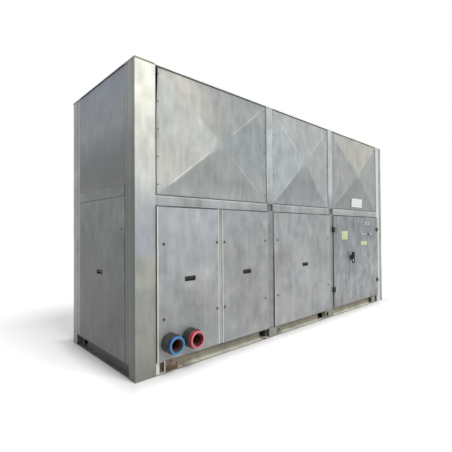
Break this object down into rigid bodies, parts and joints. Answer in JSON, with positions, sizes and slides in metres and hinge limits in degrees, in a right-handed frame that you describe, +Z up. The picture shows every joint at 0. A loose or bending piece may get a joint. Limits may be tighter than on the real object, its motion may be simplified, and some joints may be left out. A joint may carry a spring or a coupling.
{
  "type": "packaged water chiller",
  "caption": "Long sheet-metal chiller housing on a channel base, with cross-broken upper panels, flat access panels, hinged electrical door and two ringed water connections.",
  "frame": {"origin": "on the ground under the middle of the housing, on the underside of the middle base bar", "axes": "+X along the long side away from the water connections, -Y out of the face with the electrical door, +Z up"},
  "size_m": [4.108, 1.364, 2.368],
  "materials": {
    "mill_aluminium": "raw sheet with fine grain, mottled by weather",
    "base_steel": "dull weathered steel with rust",
    "fan_steel": "grey",
    "black_metal": "black",
    "coil_fins": "thin fins, dulled",
    "black_plastic": "black",
    "white_plastic": "plain white",
    "cabinet_paint": "light grey",
    "galvanised_plate": "zinc coated",
    "pipe_steel": "red-brown, rusty",
    "sleeve_rubber": "soft black foam",
    "blue_plastic": "blue",
    "red_plastic": "red"
  },
  "bodies": {
    "housing": {"base_cross_members": "base_steel", "base_rail_back": "base_steel", "base_rail_front": "base_steel", "base_rails_ends": "base_steel", "blank_label": "white_plastic", "coil_frames": "mill_aluminium", "condenser_coils": "coil_fins", "corner_posts_back": "mill_aluminium", "corner_posts_front": "mill_aluminium", "electrical_cabinet": "cabinet_paint", "fan_guards": "fan_steel", "fan_impellers": "black_metal", "fan_motors": "black_metal", "fan_rings": "fan_steel", "floor_pan": "base_steel", "foot_plates": "base_steel", "hinge_leaves_fixed": "black_plastic", "lower_panel_1": "mill_aluminium", "lower_panel_2": "mill_aluminium", "lower_panel_3": "mill_aluminium", "lower_panels_back": "mill_aluminium", "lower_panels_end": "mill_aluminium", "mid_rails_back": "mill_aluminium", "mid_rails_end": "mill_aluminium", "mid_rails_front": "mill_aluminium", "middle_posts_back": "mill_aluminium", "middle_posts_front": "mill_aluminium", "mounting_plate": "galvanised_plate", "panel_handles": "black_plastic", "panel_mullion": "mill_aluminium", "pipe_bracket": "galvanised_plate", "pipe_ring_blue": "blue_plastic", "pipe_ring_red": "red_plastic", "pipe_sleeves": "sleeve_rubber", "plenum_bearers": "base_steel", "plenum_floor": "mill_aluminium", "roof_sheet_1": "mill_aluminium", "roof_sheet_2": "mill_aluminium", "roof_sheet_3": "mill_aluminium", "top_rails_long": "base_steel", "top_rails_short": "base_steel", "upper_panel_1": "mill_aluminium", "upper_panel_2": "mill_aluminium", "upper_panel_3": "mill_aluminium", "upper_panels_end": "mill_aluminium", "water_pipes": "pipe_steel"},
    "electrical_door": {"electrical_door": "mill_aluminium", "hinge_leaves_door": "black_plastic", "door_latches": "black_plastic", "main_switch_bezel": "black_plastic", "control_knobs": "black_plastic", "key_plate": "white_plastic", "key_barrel": "black_plastic"},
    "main_switch_handle": {"main_switch_handle": "black_plastic"}
  },
  "joints": [
    {"name": "electrical_door_hinge", "type": "hinge", "parent": "housing", "child": "electrical_door", "pos_m": [0.626, -0.632, 0.7], "axis": [0, 0, -1], "range_deg": [0, 110]},
    {"name": "main_switch_turn", "type": "hinge", "parent": "electrical_door", "child": "main_switch_handle", "pos_m": [1.045, -0.637, 0.703], "axis": [0, -1, 0], "range_deg": [0, 90]}
  ]
}
